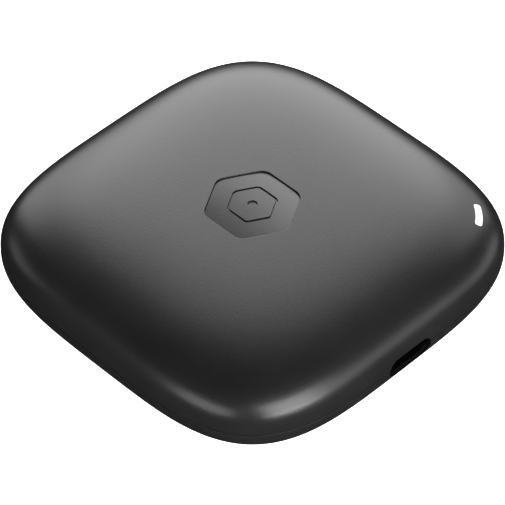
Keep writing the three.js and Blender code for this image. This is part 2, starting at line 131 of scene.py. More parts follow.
PORT_WIDTH = 8.5  # opening in the covers, with full-round ends
PORT_HEIGHT = 3.4
PORT_Y = sum(corner.y for corner in box_mm("usb_c_tongue")) / 2
PORT_Z = sum(corner.z for corner in box_mm("usb_c_tongue")) / 2
PORT_ROUND = 0.05  # rounding round the port's mouth
USB_WIDTH = 8.94  # outside of the receptacle's shell
USB_HEIGHT = 3.26
USB_WALL = 0.3
USB_BACK, USB_MOUTH = (corner.x for corner in box_mm("usb_c_shell"))
LEG_WIDTH = 1.0  # legs of the shell, soldered through the board
LEG_THICK = 0.3
LEG_FIRST = 0.8  # back of the shell to the middle of each pair of legs
LEG_SECOND = 2.9
TONGUE_TIP = box_mm("usb_c_tongue")[1].x
TONGUE_HALF = 0.35  # half its thickness
CONTACTS = 12  # on each face of the tongue
CONTACT_PITCH = 0.5
CONTACT_WIDTH = 0.25
CONTACT_LENGTH = 3.0
CONTACT_TIP = 0.5  # tip of the tongue to the contacts
CONTACT_LIFT = 0.005  # underside of a contact above the tongue's face
CONTACT_RISE = 0.04  # and its outer face

BOARD_TOP = box_mm("main_board")[1].z
BOARD_BOTTOM = box_mm("main_board")[0].z
SCREW_PLACE = 13.0  # screws at plus and minus this in X and Y
BOSS_RADIUS = 2.2  # of the top cover, down to the board
POST_RADIUS = 2.8  # of the bottom cover, up to the board
SCREW_HOLE = 1.0
SCREW_HEAD_RADIUS = 1.6
SCREW_HEAD_HEIGHT = 0.9
SCREW_THREAD = 4.0  # length inside the boss
SCREW_SPARE = 0.3  # end of the thread to the end of its hole

# ---- how fine the meshes are ----------------------------------------------------------------
AROUND = 360  # columns round the housing
SMALL_AROUND = 192  # columns round the inlay's face and the foot
CIRCLE_STEPS = 48
TOP_ROWS = 22
EDGE_ROWS = 54
INNER_ROWS = 14
DISH_ROWS = 36
INLAY_ROWS = 8
ROUND_ROWS = 4  # rows of a quarter round
PORT_STEPS = 32  # each full-round end of an obround
BEND_STEPS = 24  # each long side of the slit
CORNER_STEPS = 8  # each of its corners
CREASE = math.radians(32)  # faces that turn more than this meet in a sharp edge

QUARTER_TURNS = [math.pi / 2 * step / ROUND_ROWS for step in range(ROUND_ROWS + 1)]
CORNER_SIGNS = ((1, 1), (-1, 1), (-1, -1), (1, -1))


# ---- the square-round form ------------------------------------------------------------------


def angles(count):
    """Directions spread evenly round the axis."""
    return [2 * math.pi * step / count for step in range(count)]


def ring_point(angle, reach, z):
    """A point at a direction, a distance from the axis and a height."""
    return Vector((reach * math.cos(angle), reach * math.sin(angle), z))


def plan_share(angle):
    """How far the plan reaches at an angle, as a share of its half side."""
    cosine = abs(math.cos(angle)) ** PLAN_POWER
    sine = abs(math.sin(angle)) ** PLAN_POWER
    return (cosine + sine) ** (-1 / PLAN_POWER)


def plan_ring(half, z, count=AROUND):
    """The plan at one height, as a ring of points."""
    return [ring_point(angle, half * plan_share(angle), z) for angle in angles(count)]


def dome_z(half, top, share, reach):
    """Height of a dome at a share of its plan and a distance from the axis."""
    fullness = max(0.0, 1 - share**EDGE_POWER) ** (1 / FALL_POWER)
    return SEAM_Z + (top - SEAM_Z - CROWN * (reach / HALF) ** 2) * fullness


def dome_ring(half, top, share):
    """One level line of a dome, by its share of the plan."""
    ring = []
    for angle in angles(AROUND):
        reach = half * share * plan_share(angle)
        ring.append(ring_point(angle, reach, dome_z(half, top, share, reach)))
    return ring


def dish_ring(half, floor, turn):
    """One level line of the dish, by the turn of its quarter round from the seam."""
    share = 1 - (1 - BASE_SHARE) * (1 - math.cos(turn))
    return plan_ring(half * share, SEAM_Z - (SEAM_Z - floor) * math.sin(turn))


def edge_shares(low, rows):
    """Shares of the plan from low to the rim, evenly turned through the edge."""
    start = math.asin((1 - low**EDGE_POWER) ** (1 / FALL_POWER))
    turns = [start * (1 - row / rows) for row in range(rows + 1)]
    return [(1 - math.sin(turn) ** FALL_POWER) ** (1 / EDGE_POWER) for turn in turns]


def wall_x(y, z):
    """Where the +X side of the housing is, at a place across and a height."""
    if z >= SEAM_Z:
        rise = (z - SEAM_Z) / (HEIGHT - SEAM_Z - CROWN)
        share = (1 - rise**FALL_POWER) ** (1 / EDGE_POWER)
    else:
        drop = (SEAM_Z - z) / (SEAM_Z - FOOT_STEP)
        share = 1 - (1 - BASE_SHARE) * (1 - math.sqrt(1 - drop**2))
    return HALF * (share**PLAN_POWER - abs(y / HALF) ** PLAN_POWER) ** (1 / PLAN_POWER)


# ---- heights by the distance from the axis --------------------------------------------------


def top_z(reach):
    """The cover's face near the middle, where its plan hardly matters."""
    return dome_z(HALF, HEIGHT, reach / HALF, reach)


def pillow_z(reach):
    """The inlay's face."""
    return HEIGHT - HEX_EDGE_DEPTH + HEX_PILLOW * (1 - (reach / HEX_FLAT) ** 2)


def lowered(face_z, drop):
    """A face that lies below another by the same amount everywhere."""
    return lambda reach: face_z(reach) - drop


# ---- outlines -------------------------------------------------------------------------------


def hex_reach(angle, flat, corner):
    """How far a round-cornered hexagon with corners on the X axis reaches at an angle."""
    sector = math.pi / 3
    turn = (angle + sector / 2) % sector - sector / 2  # from the nearest corner's direction
    centre = (flat - corner) / math.cos(sector / 2)
    side = flat / math.cos(sector / 2 - abs(turn))
    inside = corner**2 - (centre * math.sin(turn)) ** 2
    if inside <= 0:
        return side
    rounded = centre * math.cos(turn) + math.sqrt(inside)
    touch = math.atan2(corner * math.sin(sector / 2), centre + corner * math.cos(sector / 2))
    return rounded if abs(turn) < touch else side


def hex_ring(flat, corner, z, count):
    """A hexagon's outline as a ring; z is a height or a function of the distance."""
    ring = []
    for angle in angles(count):
        reach = hex_reach(angle, flat, corner)
        ring.append(ring_point(angle, reach, z(reach) if callable(z) else z))
    return ring


def arc(middle, radius, start, end, steps):
    """Points along an arc, its first end included and its last left out."""
    turns = [start + (end - start) * step / steps for step in range(steps)]
    return [(middle[0] + radius * math.cos(t), middle[1] + radius * math.sin(t)) for t in turns]


def bent_slot(width, length, corner):
    """A short band with rounded corners, bent towards the axis of the housing."""
    low = CORNER_ANGLE - length / 2 / SLIT_BEND
    high = CORNER_ANGLE + length / 2 / SLIT_BEND
    reach = SLIT_REACH - SLIT_BEND
    centre = ((reach - SLIT_SLIDE) * math.sqrt(0.5), (reach + SLIT_SLIDE) * math.sqrt(0.5))
    outer = SLIT_BEND + width / 2 - corner
    inner = SLIT_BEND - width / 2 + corner
    outer_turn = math.asin(corner / outer)
    inner_turn = math.asin(corner / inner)
    quarter = math.pi / 2

    def corner_arc(radius, angle, start, end):
        place = (centre[0] + radius * math.cos(angle), centre[1] + radius * math.sin(angle))
        return arc(place, corner, start, end, CORNER_STEPS)

    high_outer, high_inner = high - outer_turn, high - inner_turn
    low_outer, low_inner = low + outer_turn, low + inner_turn
    return (
        arc(centre, outer + corner, low_outer, high_outer, BEND_STEPS)
        + corner_arc(outer, high_outer, high_outer, high + quarter)
        + corner_arc(inner, high_inner, high + quarter, high_inner + 2 * quarter)
        + arc(centre, inner - corner, high_inner, low_inner, BEND_STEPS)
        + corner_arc(inner, low_inner, low_inner + 2 * quarter, low + 3 * quarter)
        + corner_arc(outer, low_outer, low + 3 * quarter, low_outer + 4 * quarter)
    )


def obround(width, height, grow=0.0):
    """Places (y, z) round a slot with full-round ends, long in Y, about the port's middle."""
    radius = height / 2 + grow
    reach = (width - height) / 2
    points = []
    for side in (1, -1):
        for step in range(PORT_STEPS + 1):
            turn = -side * math.pi / 2 + math.pi * step / PORT_STEPS
            y = PORT_Y + side * reach + radius * math.cos(turn)
            points.append((y, PORT_Z + radius * math.sin(turn)))
    return points


def across(outline, x):
    """An outline of (y, z) places as a ring of points at one x."""
    return [Vector((x, y, z)) for y, z in outline]


def circle(radius, x, y):
    """Places (x, y) round a circle."""
    return [(x + radius * math.cos(t), y + radius * math.sin(t)) for t in angles(CIRCLE_STEPS)]


# ---- meshes ---------------------------------------------------------------------------------


def new_piece(name, surface):
    """A Blender object from a bmesh, with its faces turned outwards."""
    bmesh.ops.recalc_face_normals(surface, faces=surface.faces)
    mesh = bpy.data.meshes.new(name)
    surface.to_mesh(mesh)
    surface.free()
    piece = bpy.data.objects.new(name, mesh)
    bpy.context.scene.collection.objects.link(piece)
    return piece


def add_rings(surface, rings, back_to_first=False):
    """Faces from each ring of points to the next, and the rings' vertices."""
    levels = [[surface.verts.new(point * MM) for point in ring] for ring in rings]
    following = [*levels[1:], levels[0]] if back_to_first else levels[1:]
    for low, high in zip(levels, following):
        for i in range(len(low)):
            j = (i + 1) % len(low)
            surface.faces.new((low[i], low[j], high[j], high[i]))
    return levels


def ring_mesh(name, rings):
    """A closed surface through rings of points, each end closed by a fan."""
    surface = bmesh.new()
    levels = add_rings(surface, rings)
    for level in (levels[0], levels[-1]):
        middle = sum((vertex.co for vertex in level), Vector()) / len(level)
        pole = surface.verts.new(middle)
        for i in range(len(level)):
            surface.faces.new((level[i], level[(i + 1) % len(level)], pole))
    return new_piece(name, surface)


def prism(name, outline, low, high):
    """An outline of (x, y) points raised from low to high."""
    return ring_mesh(name, [[Vector((x, y, z)) for x, y in outline] for z in (low, high)])


def join_solids(name, tools, operation, target):
    """Joins or cuts a piece with closed tools, which are then removed."""
    for tool in tools:
        modifier = target.modifiers.new(name, "BOOLEAN")
        modifier.solver = "MANIFOLD"
        modifier.operation = operation
        modifier.object = tool
    graph = bpy.context.evaluated_depsgraph_get()
    joined = bpy.data.meshes.new_from_object(target.evaluated_get(graph), depsgraph=graph)
    target.modifiers.clear()
    old = target.data
    target.data = joined
    bpy.data.meshes.remove(old)
    for tool in tools:
        bpy.data.meshes.remove(tool.data)


def smooth(piece):
    """Smooth shading that stays sharp at real edges."""
    piece.data.shade_smooth()
    piece.data.set_sharp_from_angle(angle=CREASE)


# ---- covers ---------------------------------------------------------------------------------


def receptacle_cutter():
    """Room for the receptacle, behind the port's opening."""
    outline = obround(USB_WIDTH, USB_HEIGHT, PLAY)
    return ring_mesh("receptacle_cutter", [across(outline, USB_BACK), across(outline, USB_MOUTH + PLAY)])


def port_cutter():
    """The port's opening, flared by a small round where it meets the side."""

    def ring(grow, depth):
        points = obround(PORT_WIDTH, PORT_HEIGHT, grow)
        return [Vector((wall_x(y, z) - depth, y, z)) for y, z in points]

    rings = [across(obround(PORT_WIDTH, PORT_HEIGHT), USB_MOUTH)]
    for turn in QUARTER_TURNS:
        rings.append(ring(PORT_ROUND * (1 - math.cos(turn)), PORT_ROUND * (1 - math.sin(turn))))
    rings.append(ring(PORT_ROUND, -OVER))
    return ring_mesh("port_cutter", rings)


def hex_to_plan_ring(blend):
    """A ring on the dome, from the hexagon's pocket at 0 to a level line of the dome at 1."""
    ring = []
    for angle in angles(AROUND):
        near = hex_reach(angle, HEX_FLAT + HEX_EDGE_ROUND, HEX_ROUND + HEX_EDGE_ROUND)
        far = HALF * DOME_SHARE * plan_share(angle)
        reach = near + (far - near) * blend
        share = reach / (HALF * plan_share(angle))
        ring.append(ring_point(angle, reach, dome_z(HALF, HEIGHT, share, reach)))
    return ring


def pocket_rings():
    """The hexagonal pocket from its floor up to a small round at its mouth."""
    floor = HEIGHT - HEX_POCKET
    floor_shares = (0.3, 0.99, 1)
    rings = [hex_ring(HEX_FLAT * share, HEX_ROUND * share, floor, AROUND) for share in floor_shares]
    for turn in QUARTER_TURNS[:-1]:
        grow = HEX_EDGE_ROUND * (1 - math.cos(turn))
        mouth_z = lowered(top_z, HEX_EDGE_ROUND * (1 - math.sin(turn)))
        rings.append(hex_ring(HEX_FLAT + grow, HEX_ROUND + grow, mouth_z, AROUND))
    return rings


def edge_round_rings(z, upwards):
    """A quarter round from the side to a level face at z: upwards is 1 if the side is above that
    face, and -1 if it is below."""
    rings = []
    for turn in QUARTER_TURNS:
        side = EDGE_ROUND * (1 - math.cos(turn))
        level = EDGE_ROUND * (1 - math.sin(turn))
        rings.append(plan_ring(HALF - side, z + upwards * level))
    return rings


def top_cover():
    """The domed shell, with the hexagonal pocket, the slit, the screw bosses and half the port."""
    rings = pocket_rings()
    rings.append(hex_to_plan_ring(0))
    rings.append(hex_to_plan_ring(SUPPORT / HEX_FLAT))
    rings.extend(hex_to_plan_ring(row / TOP_ROWS) for row in range(1, TOP_ROWS))
    lowest = SEAM_Z + SEAM_GAP / 2
    dome = [dome_ring(HALF, HEIGHT, share) for share in edge_shares(DOME_SHARE, EDGE_ROWS)]
    rings.extend(ring for ring in dome if ring[0].z > lowest + EDGE_CLEAR)
    rings.extend(edge_round_rings(lowest, 1))
    lip_reach = INNER_HALF + LIP_THICK + LIP_FIT
    ledge = LIP_TOP + LIP_FIT
    rings.append(plan_ring(lip_reach, lowest))
    rings.append(plan_ring(lip_reach, ledge))
    rings.append(plan_ring(INNER_HALF, ledge))
    inner = [dome_ring(INNER_HALF, CEILING, share) for share in edge_shares(INNER_SHARE, INNER_ROWS)]
    rings.extend(ring for ring in reversed(inner) if ring[0].z > ledge + CEILING_CLEAR)
    body = ring_mesh("top_cover_fine", rings)
    boss_z = BOARD_TOP + PLAY
    hole_top = boss_z + SCREW_THREAD + SCREW_SPARE
    bosses, holes = [], []
    for sign_x, sign_y in CORNER_SIGNS:
        x, y = sign_x * SCREW_PLACE, sign_y * SCREW_PLACE
        bosses.append(prism("boss", circle(BOSS_RADIUS, x, y), boss_z, CEILING))
        holes.append(prism("hole", circle(SCREW_HOLE, x, y), boss_z - OVER, hole_top))
    join_solids("bosses", bosses, "UNION", body)
    slit = prism("slit", bent_slot(SLIT_WIDTH, SLIT_LENGTH, SLIT_ROUND), LIP_TOP + OVER, HEIGHT)
    join_solids("cuts", [*holes, slit, port_cutter(), receptacle_cutter()], "DIFFERENCE", body)
    return body


def bottom_cover():
    """The dished shell, with the foot's pocket, the locating lip, the posts and half the port."""
    highest = SEAM_Z - SEAM_GAP / 2
    rings = [plan_ring(FOOT_HALF + PLAY, FOOT_POCKET_Z), plan_ring(FOOT_HALF + PLAY, FOOT_STEP)]
    turns = [math.pi / 2 * (1 - row / DISH_ROWS) for row in range(DISH_ROWS + 1)]
    dish = [dish_ring(HALF, FOOT_STEP, turn) for turn in turns]
    rings.extend(ring for ring in dish if ring[0].z < highest - EDGE_CLEAR)
    rings.extend(edge_round_rings(highest, -1))
    lip_reach = INNER_HALF + LIP_THICK
    rings.append(plan_ring(lip_reach, highest))
    rings.append(plan_ring(lip_reach, LIP_TOP - EDGE_ROUND))
    rings.append(plan_ring(lip_reach - EDGE_ROUND, LIP_TOP))
    rings.append(plan_ring(INNER_HALF, LIP_TOP))
    inner_turns = [math.pi / 2 * row / INNER_ROWS for row in range(INNER_ROWS + 1)]
    rings.extend(dish_ring(INNER_HALF, INNER_FLOOR, turn) for turn in inner_turns)
    body = ring_mesh("bottom_cover_fine", rings)
    post_top = BOARD_BOTTOM - PLAY
    head_top = FOOT_POCKET_Z + SCREW_HEAD_HEIGHT + PLAY
    posts, holes = [], [port_cutter(), receptacle_cutter()]
    for sign_x, sign_y in CORNER_SIGNS:
        x, y = sign_x * SCREW_PLACE, sign_y * SCREW_PLACE
        posts.append(prism("post", circle(POST_RADIUS, x, y), FOOT_POCKET_Z + PLAY, post_top))
        holes.append(prism("hole", circle(SCREW_HOLE, x, y), FOOT_POCKET_Z - OVER, post_top + OVER))
        sink = circle(SCREW_HEAD_RADIUS + PLAY, x, y)
        holes.append(prism("sink", sink, FOOT_POCKET_Z - OVER, head_top))
    join_solids("posts", posts, "UNION", body)
    join_solids("cuts", holes, "DIFFERENCE", body)
    return body


# ---- small pieces ---------------------------------------------------------------------------


def emblem_plate():
    """The pillowed inlay, engraved with a hexagon line and a dot."""
    engraved_z = lowered(pillow_z, MARK_DEPTH)

    def ring(flat, corner, z):
        return hex_ring(flat, max(corner, SHARPEST), z, SMALL_AROUND)

    def round_ring(radius, z):
        return [ring_point(angle, radius, z(radius)) for angle in angles(SMALL_AROUND)]

    inner, outer = MARK_FLAT - MARK_WIDTH, MARK_FLAT
    inner_corner = MARK_ROUND - MARK_WIDTH
    rings = [
        round_ring(MARK_DOT / 2, engraved_z),
        round_ring(MARK_DOT - MARK_SLOPE, engraved_z),
        round_ring(MARK_DOT, pillow_z),
        round_ring(MARK_DOT + SUPPORT, pillow_z),
        round_ring(MARK_DOT * 2, pillow_z),
        ring(inner - SUPPORT, inner_corner - SUPPORT, pillow_z),
        ring(inner, inner_corner, pillow_z),
        ring(inner + MARK_SLOPE, inner_corner + MARK_SLOPE, engraved_z),
        ring(outer - MARK_SLOPE, MARK_ROUND - MARK_SLOPE, engraved_z),
        ring(outer, MARK_ROUND, pillow_z),
        ring(outer + SUPPORT, MARK_ROUND + SUPPORT, pillow_z),
    ]
    edge, corner = HEX_FLAT - HEX_FIT, HEX_ROUND - HEX_FIT
    last, last_corner = edge - HEX_EDGE_ROUND, corner - HEX_EDGE_ROUND
    shares = [row / INLAY_ROWS for row in range(1, INLAY_ROWS + 1)]
    face = [
        ring(outer + (last - outer) * share, MARK_ROUND + (last_corner - MARK_ROUND) * share, pillow_z)
        for share in shares
    ]
    face.insert(-1, ring(last - SUPPORT, last_corner - SUPPORT, pillow_z))
    rings.extend(face)
    for turn in QUARTER_TURNS[1:]:
        inset = HEX_EDGE_ROUND * (1 - math.sin(turn))
        edge_z = lowered(pillow_z, HEX_EDGE_ROUND * (1 - math.cos(turn)))
        rings.append(ring(edge - inset, corner - inset, edge_z))
    rings.append(ring(edge, corner, HEIGHT - HEX_POCKET + PLAY))
    return ring_mesh("emblem_plate_fine", rings)


def light_pipe():
    """The diffuser, flush with the cover in its slit, with the flange that holds it below."""
    low = box_mm("light_pipe")[0].z
    stem_size = (SLIT_WIDTH - 2 * SLIT_FIT, SLIT_LENGTH - 2 * SLIT_FIT, SLIT_ROUND - SLIT_FIT)
    stem = prism("light_pipe_fine", bent_slot(*stem_size), low, HEIGHT)
    flange_outline = bent_slot(PIPE_FLANGE_WIDTH, PIPE_FLANGE_LENGTH, PIPE_FLANGE_ROUND)
    flange = prism("flange", flange_outline, PIPE_FLANGE_Z, PIPE_FLANGE_Z + PIPE_FLANGE_THICK)
    join_solids("flange", [flange], "UNION", stem)
    middle_shares, edge_share = (0.3, 0.6), 0.7  # level lines of the dome that trims the stem
    shares = [*middle_shares, *edge_shares(edge_share, EDGE_ROWS)]
    rings = [dome_ring(HALF, HEIGHT, share) for share in shares] + [plan_ring(HALF, 0)]
    join_solids("trim", [ring_mesh("dome", rings)], "INTERSECT", stem)
    return stem


def foot_pad():
    """The rubber foot, with a rounded lower edge and a shallow moulded groove inside it."""

    def ring(reach, z):
        return plan_ring(reach, z, SMALL_AROUND)

    groove = FOOT_HALF - GROOVE_INSET
    rings = [
        ring(FOOT_HALF / 2, 0),
        ring(groove - GROOVE_WIDTH, 0),
        ring(groove - GROOVE_WIDTH * (1 - GROOVE_SLOPE), GROOVE_DEPTH),
        ring(groove - GROOVE_WIDTH * GROOVE_SLOPE, GROOVE_DEPTH),
        ring(groove, 0),
    ]
    for turn in QUARTER_TURNS:
        inset = FOOT_ROUND * (1 - math.sin(turn))
        rings.append(ring(FOOT_HALF - inset, FOOT_ROUND * (1 - math.cos(turn))))
    rings.append(ring(FOOT_HALF, FOOT_THICK))
    return ring_mesh("foot_pad_fine", rings)


def usb_shell():
    """The receptacle's shell with a rounded mouth, and its four legs through the board."""

    def ring(grow, x):
        return across(obround(USB_WIDTH, USB_HEIGHT, grow), x)

    lead = USB_WALL / 2
    rings = [ring(0, USB_BACK), ring(0, USB_MOUTH - lead)]
    for step in range(1, 2 * ROUND_ROWS):
        turn = math.pi * step / (2 * ROUND_ROWS)
        rings.append(ring(-lead + lead * math.cos(turn), USB_MOUTH - lead + lead * math.sin(turn)))
    rings += [ring(-USB_WALL, USB_MOUTH - lead), ring(-USB_WALL, USB_BACK)]
    surface = bmesh.new()
    add_rings(surface, rings, back_to_first=True)
    tube = new_piece("usb_c_shell_fine", surface)
    legs = []
    for x in (USB_BACK + LEG_FIRST, USB_BACK + LEG_SECOND):
        for side in (1, -1):
            y = PORT_Y + side * (USB_WIDTH - LEG_THICK) / 2
            back, front = x - LEG_WIDTH / 2, x + LEG_WIDTH / 2
            right, left = y - LEG_THICK / 2, y + LEG_THICK / 2
            outline = [(back, right), (front, right), (front, left), (back, left)]
            legs.append(prism("leg", outline, BOARD_BOTTOM, PORT_Z))
    join_solids("legs", legs, "UNION", tube)
    return tube


def block(surface, low, high):
    """A box between two corners, added to a bmesh."""
    made = bmesh.ops.create_cube(surface, size=1)
    size = [(end - start) * MM for start, end in zip(low, high)]
    middle = [(end + start) / 2 * MM for start, end in zip(low, high)]
    bmesh.ops.scale(surface, vec=size, verts=made["verts"])
    bmesh.ops.translate(surface, vec=middle, verts=made["verts"])


def usb_contacts():
    """The contacts on both faces of the tongue."""
    front = TONGUE_TIP - CONTACT_TIP
    surface = bmesh.new()
    for side in (1, -1):
        near, far = sorted(side * (TONGUE_HALF + height) for height in (CONTACT_LIFT, CONTACT_RISE))
        for index in range(CONTACTS):
            y = PORT_Y + (index - (CONTACTS - 1) / 2) * CONTACT_PITCH
            low = (front - CONTACT_LENGTH, y - CONTACT_WIDTH / 2, PORT_Z + near)
            block(surface, low, (front, y + CONTACT_WIDTH / 2, PORT_Z + far))
    return new_piece("usb_c_contacts", surface)


# ---- material nodes -------------------------------------------------------------------------

NOISE_DETAIL = 3.0
NOISE_LOW, NOISE_HIGH = 0.3, 0.7  # nearly all values of a noise lie between these
PATCH_LOW, PATCH_HIGH = 0.35, 0.65  # where the colour of a patch starts and stops changing
FINE_SHIFT = 0.01  # metres between the grain's noise and the patches'


def grey(value):
    """A colour with no hue."""
    return (value, value, value)


def opaque(colour):
    """A colour as a socket takes it."""
    return (*colour, 1)


def noise(tree, scale_mm, shift=0.0):
    """Noise in the object's own space, with its size in millimetres."""
    place = tree.nodes.new("ShaderNodeTexCoord")
    mapping = tree.nodes.new("ShaderNodeMapping")
    mapping.inputs["Location"].default_value = (shift, shift * 0.7, shift * 1.3)
    texture = tree.nodes.new("ShaderNodeTexNoise")
    texture.inputs["Scale"].default_value = 1 / (scale_mm * MM)
    texture.inputs["Detail"].default_value = NOISE_DETAIL
    tree.links.new(place.outputs["Object"], mapping.inputs["Vector"])
    tree.links.new(mapping.outputs["Vector"], texture.inputs["Vector"])
    return texture.outputs["Fac"]


def spread(tree, value, low, high):
    """A noise value stretched to run from low to high."""
    mapped = tree.nodes.new("ShaderNodeMapRange")
    mapped.inputs["From Min"].default_value = NOISE_LOW
    mapped.inputs["From Max"].default_value = NOISE_HIGH
    mapped.inputs["To Min"].default_value = low
    mapped.inputs["To Max"].default_value = high
    tree.links.new(value, mapped.inputs["Value"])
    return mapped.outputs["Result"]


def two_colours(tree, value, dark, light):
    """A noise value turned into patches of two colours."""
    ramp = tree.nodes.new("ShaderNodeValToRGB")
    ends = ((PATCH_LOW, dark), (PATCH_HIGH, light))
    for element, (position, colour) in zip(ramp.color_ramp.elements, ends):
        element.position = position
        element.color = opaque(colour)
    tree.links.new(value, ramp.inputs["Fac"])
    return ramp.outputs["Color"]


def bump(tree, value, height):
    """A Bump node fed by a value whose full range is height metres."""
    node = tree.nodes.new("ShaderNodeBump")
    node.inputs["Distance"].default_value = height
    tree.links.new(value, node.inputs["Height"])
    return node


def combine(tree, operation, first, second):
    """Two values combined by a Math node; the second may be a plain number."""
    node = tree.nodes.new("ShaderNodeMath")
    node.operation = operation
    tree.links.new(first, node.inputs[0])
    if isinstance(second, float):
        node.inputs[1].default_value = second
    else:
        tree.links.new(second, node.inputs[1])
    return node.outputs["Value"]


def bow(tree, shader, along_mm, across_mm):
    """Leans the inlay's shading as if its face rose by along_mm towards its ends along X, and
    fell by across_mm towards its sides across Y."""
    place = tree.nodes.new("ShaderNodeTexCoord")
    mapping = tree.nodes.new("ShaderNodeMapping")
    mapping.inputs["Scale"].default_value = (1 / (HEX_FLAT * MM),) * 3
    apart = tree.nodes.new("ShaderNodeSeparateXYZ")
    tree.links.new(place.outputs["Object"], mapping.inputs["Vector"])
    tree.links.new(mapping.outputs["Vector"], apart.inputs["Vector"])
    heights = []
    for axis, height in (("X", along_mm), ("Y", -across_mm)):
        square = combine(tree, "MULTIPLY", apart.outputs[axis], apart.outputs[axis])
        heights.append(combine(tree, "MULTIPLY", square, height * MM))
    lean = bump(tree, combine(tree, "ADD", *heights), 1.0)
    relief = shader.inputs["Normal"].links[0].from_node
    tree.links.new(lean.outputs["Normal"], relief.inputs["Normal"])


def finish(name, dark, light, rough, grain_mm=0.3, patch_mm=8.0, relief_mm=0.01, **sockets):
    """A finish whose colour drifts in patches, with grain in its roughness and relief."""
    material = bpy.data.materials.new(name)
    material.use_nodes = True
    tree = material.node_tree
    shader = tree.nodes["Principled BSDF"]
    for socket, value in sockets.items():
        shader.inputs[socket.replace("_", " ")].default_value = value
    patches = noise(tree, patch_mm)
    fine = noise(tree, grain_mm, FINE_SHIFT)
    tree.links.new(two_colours(tree, patches, dark, light), shader.inputs["Base Color"])
    tree.links.new(spread(tree, fine, *rough), shader.inputs["Roughness"])
    relief = bump(tree, fine, relief_mm * MM)
    tree.links.new(relief.outputs["Normal"], shader.inputs["Normal"])
    return material


def metal(name, dark, light, rough, **sizes):
    """A finish for bare or plated metal."""
    return finish(name, dark, light, rough, Metallic=1.0, **sizes)


# ---- finishes: colours as shares of the light, roughness from and to -------------------------


def housing():
    """Satin black plastic with a faint moulded grain."""
    return finish("housing", grey(0.009), grey(0.011), (0.28, 0.34), relief_mm=0.013)


def inlay():
    """The housing's plastic, on a face whose sheen runs across Y only."""
    material = finish("inlay", grey(0.009), grey(0.011), (0.27, 0.33), relief_mm=0.008)
    tree = material.node_tree
    bow(tree, tree.nodes["Principled BSDF"], HEX_PILLOW, HEX_LEAN)
    return material


def opening():
    """Painted shade: a near-black material for the walls of the port's opening, which stands for the
    shade inside it.
    """
    return finish("opening", grey(0.001), grey(0.002), (0.8, 0.9), Specular_IOR_Level=0.1)


def diffuser():
    """White plastic lit from below."""
    glow = {"Emission_Color": opaque(grey(1)), "Emission_Strength": 0.25}
    return finish("diffuser", grey(0.9), grey(0.94), (0.3, 0.4), relief_mm=0.001, **glow)


def foot_rubber():
    return finish("foot_rubber", grey(0.018), grey(0.026), (0.75, 0.9), relief_mm=0.02)


def adhesive():
    return finish("adhesive", (0.3, 0.3, 0.27), (0.4, 0.4, 0.37), (0.5, 0.65))


def screw_steel():
    sizes = {"grain_mm": 0.15, "patch_mm": 2.0, "relief_mm": 0.004}
    return metal("screw_steel", grey(0.38), grey(0.5), (0.25, 0.4), **sizes)


def receptacle_steel():
    """Black plating on stamped steel."""
    sizes = {"grain_mm": 0.15, "patch_mm": 2.0, "relief_mm": 0.002}
    return metal("receptacle_steel", grey(0.006), grey(0.01), (0.5, 0.6), **sizes)


def black_plastic():
    return finish("black_plastic", grey(0.006), grey(0.009), (0.5, 0.6), relief_mm=0.003)


def gold():
    sizes = {"grain_mm": 0.1, "patch_mm": 1.0, "relief_mm": 0.001}
    return metal("gold", (0.75, 0.5, 0.2), (0.85, 0.6, 0.28), (0.2, 0.35), **sizes)


def package_epoxy():
    return finish("package_epoxy", grey(0.014), grey(0.022), (0.5, 0.65), grain_mm=0.12)


def ceramic():
    return finish("ceramic", (0.2, 0.12, 0.06), (0.3, 0.19, 0.1), (0.4, 0.55))


def metal_can():
    sizes = {"grain_mm": 0.1, "patch_mm": 1.5, "relief_mm": 0.002}
    return metal("metal_can", grey(0.5), grey(0.62), (0.2, 0.35), **sizes)


def thermal_pad():
    return finish("thermal_pad", (0.2, 0.3, 0.4), (0.26, 0.37, 0.47), (0.75, 0.9))


def aluminium():
    sizes = {"grain_mm": 0.2, "patch_mm": 6.0, "relief_mm": 0.003}
    return metal("aluminium", grey(0.5), grey(0.58), (0.3, 0.45), **sizes)


def foam():
    return finish("foam", grey(0.02), grey(0.045), (0.9, 1.0), grain_mm=0.5, relief_mm=0.3)


def circuit_board():
    """Green solder mask, lighter where it covers copper tracks."""
    mask_dark, mask_light = (0.006, 0.035, 0.014), (0.008, 0.045, 0.018)
    field_light, field_dark, track = (0.007, 0.038, 0.016), (0.005, 0.03, 0.012), (0.02, 0.09, 0.035)
    field_mm, track_share = 4, 0.03
    material = finish("circuit_board", mask_dark, mask_light, (0.3, 0.4))
    tree = material.node_tree
    place = tree.nodes.new("ShaderNodeTexCoord")
    brick = tree.nodes.new("ShaderNodeTexBrick")
    brick.inputs["Scale"].default_value = 1 / (field_mm * MM)
    brick.inputs["Mortar Size"].default_value = track_share
    brick.inputs["Color1"].default_value = opaque(field_light)
    brick.inputs["Color2"].default_value = opaque(field_dark)
    brick.inputs["Mortar"].default_value = opaque(track)
    tree.links.new(place.outputs["Object"], brick.inputs["Vector"])
    tree.links.new(brick.outputs["Color"], tree.nodes["Principled BSDF"].inputs["Base Color"])
    return material


FINISHES = (
    housing,
    inlay,
    opening,
    diffuser,
    foot_rubber,
    adhesive,
    screw_steel,
    receptacle_steel,
    black_plastic,
    gold,
    package_epoxy,
    ceramic,
    metal_can,
    thermal_pad,
    aluminium,
    foam,
    circuit_board,
)


# ---- assembly -------------------------------------------------------------------------------


def wear(piece, material):
    """The piece takes one material."""
    piece.data.materials.clear()
    piece.data.materials.append(material)


